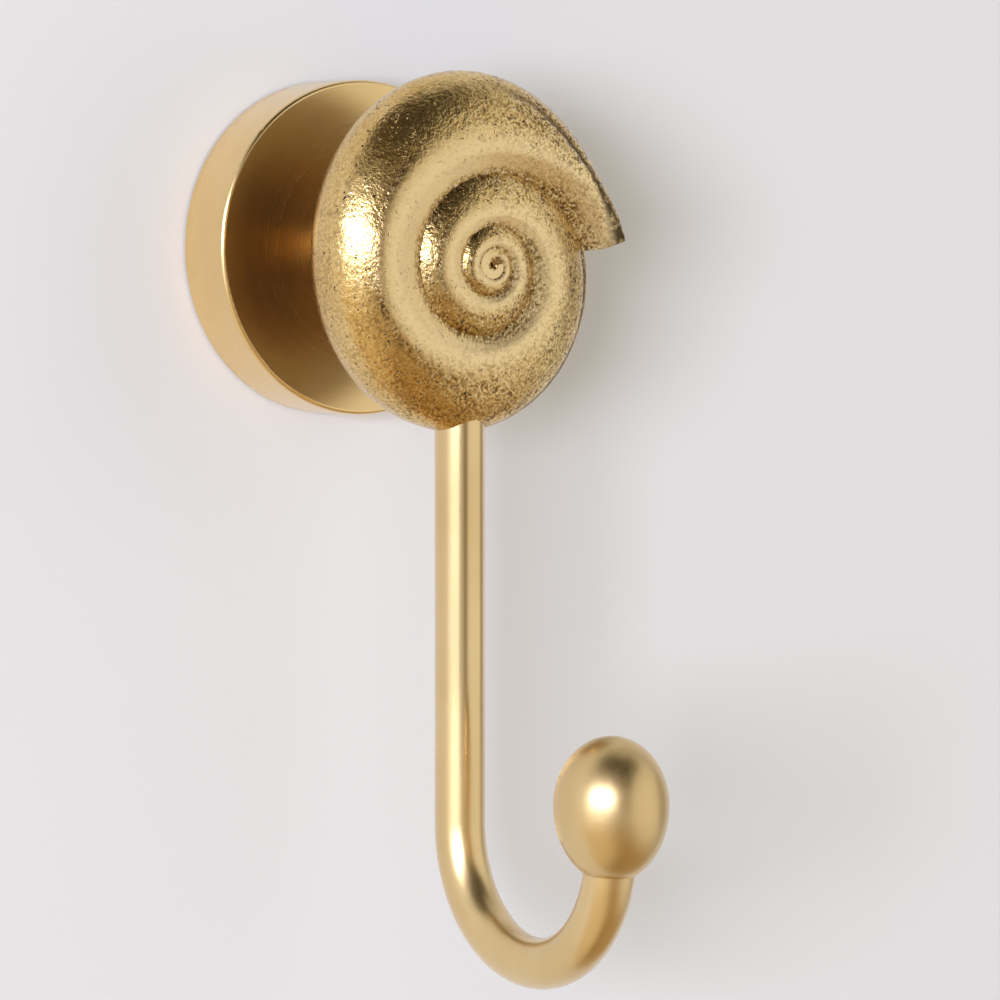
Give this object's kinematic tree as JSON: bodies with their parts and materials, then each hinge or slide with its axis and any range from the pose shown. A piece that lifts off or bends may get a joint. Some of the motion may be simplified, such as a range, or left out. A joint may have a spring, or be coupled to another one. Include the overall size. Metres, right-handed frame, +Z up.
{
  "type": "bath hook",
  "caption": "Wall hook with a round rosette, a cast spiral shell on a short post, and a round rod that bends up to an egg-shaped knob, for towels or robes.",
  "frame": {"origin": "middle of the rosette's back, on the wall", "axes": "+Z up along the stem, -Y out from the wall towards the room, +X to the right as seen from the room"},
  "size_m": [0.0555, 0.0862, 0.1428],
  "materials": {
    "satin_brass": "satin, brushed fine",
    "cast_brass": "sand-cast grain, with small pits and polished ridges",
    "zinc_steel": "zinc plated",
    "dark_steel": "black oxide"
  },
  "bodies": {
    "root": {"rosette": "satin_brass", "standoff_post": "satin_brass", "hook_rod": "satin_brass", "ball_tip": "satin_brass", "shell": "cast_brass", "wall_bracket": "zinc_steel", "clamp_bolt": "zinc_steel", "lock_washer": "zinc_steel", "set_screw": "dark_steel"}
  },
  "joints": []
}
